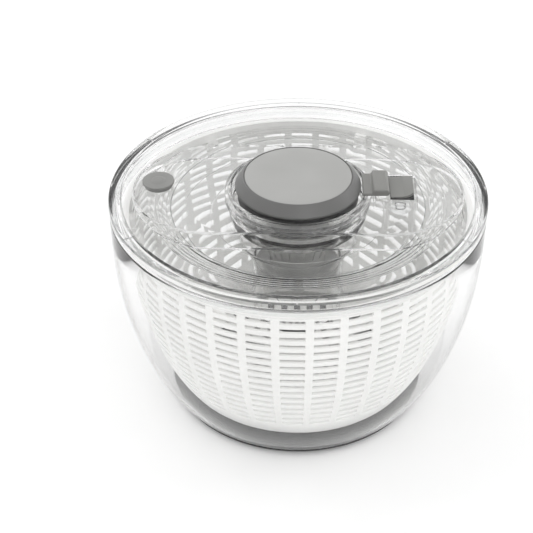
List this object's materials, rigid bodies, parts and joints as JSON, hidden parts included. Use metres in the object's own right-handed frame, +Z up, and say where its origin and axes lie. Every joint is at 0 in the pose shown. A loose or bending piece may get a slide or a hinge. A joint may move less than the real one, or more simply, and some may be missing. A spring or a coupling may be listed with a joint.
{
  "type": "salad spinner",
  "caption": "Pump salad spinner: clear bowl with a dark foot, white slotted basket, clear lid with a round grey pump knob, a lock slider, a brake button and a vent plug.",
  "frame": {"origin": "centre of the face that the base ring stands on", "axes": "+Z up along the spin axis, +X towards the lock and the brake button, -Y towards the viewer"},
  "size_m": [0.265, 0.265, 0.1753],
  "materials": {
    "clear_shell": "clear, polished mould",
    "white_basket": "satin moulded polypropylene",
    "grey_knob": "fine satin moulding",
    "grey_pad": "matt soft-touch disc",
    "grey_control": "satin moulding",
    "dark_rubber": "matt elastomer",
    "grey_silicone": "matt silicone",
    "clear_silicone": "matt translucent silicone",
    "grey_housing": "satin moulding",
    "acetal": "self-lubricating, smooth",
    "steel": "bright drawn"
  },
  "bodies": {
    "bowl": {"bowl": "clear_shell", "base_ring": "dark_rubber", "pivot_pin": "steel"},
    "basket_pivot": {"basket_bush": "acetal"},
    "basket": {"basket": "white_basket"},
    "lid": {"lid_shell": "clear_shell", "lid_seal": "clear_silicone", "lid_deck": "clear_shell", "knob_collar": "clear_shell", "guide_bush": "acetal", "housing": "grey_housing", "housing_screws": "steel", "retaining_clip": "steel", "control_tray": "clear_shell", "return_spring": "steel", "brake_spring": "steel"},
    "turntable": {"drive_plate": "clear_shell", "clutch_cup": "grey_housing", "cup_screws": "steel", "bearing_bush": "acetal"},
    "clutch_nut": {"drive_nut": "acetal", "clutch_rollers": "steel"},
    "knob": {"knob_shell": "grey_knob", "knob_pad": "grey_pad", "plunger": "grey_housing", "twist_rod": "steel", "rod_screw": "steel", "knob_screws": "steel"},
    "brake": {"brake_button": "grey_control", "brake_shoe": "dark_rubber"},
    "lock": {"lock_slider": "grey_control"},
    "plug": {"vent_plug": "grey_silicone"}
  },
  "joints": [
    {"name": "lid_lift", "type": "slide", "parent": "bowl", "child": "lid", "axis": [0, 0, 1], "range_m": [0, 0.3]},
    {"name": "basket_lift", "type": "slide", "parent": "bowl", "child": "basket_pivot", "axis": [0, 0, 1], "range_m": [0, 0.151]},
    {"name": "basket_spin", "type": "hinge", "parent": "basket_pivot", "child": "basket", "pos_m": [0, 0, 0.02], "axis": [0, 0, 1], "continuous": true},
    {"name": "turntable_spin", "type": "hinge", "parent": "lid", "child": "turntable", "pos_m": [0, 0, 0.11], "axis": [0, 0, 1], "continuous": true},
    {"name": "knob_pump", "type": "slide", "parent": "lid", "child": "knob", "axis": [0, 0, 1], "range_m": [0, 0.028], "deforming": ["return_spring"]},
    {"name": "nut_spin", "type": "hinge", "parent": "lid", "child": "clutch_nut", "pos_m": [0, 0, 0.105], "axis": [0, 0, 1], "range_deg": [-361, 1]},
    {"name": "brake_press", "type": "slide", "parent": "lid", "child": "brake", "axis": [0, 0, -1], "range_m": [0, 0.0025], "stiffness_N_per_m": 1500, "springref_m": -0.001, "deforming": ["brake_spring"]},
    {"name": "lock_slide", "type": "slide", "parent": "lid", "child": "lock", "axis": [1, 0, 0], "range_m": [0, 0.004]},
    {"name": "plug_pull", "type": "slide", "parent": "lid", "child": "plug", "axis": [0, 0, 1], "range_m": [0, 0.015]}
  ],
  "couplings": [
    {"joint": "basket_lift", "follows": "lid_lift", "ratio": 0.5},
    {"joint": "turntable_spin", "follows": "basket_spin", "ratio": 1},
    {"joint": "nut_spin", "follows": "knob_pump", "rad_per_m": -224.4}
  ]
}
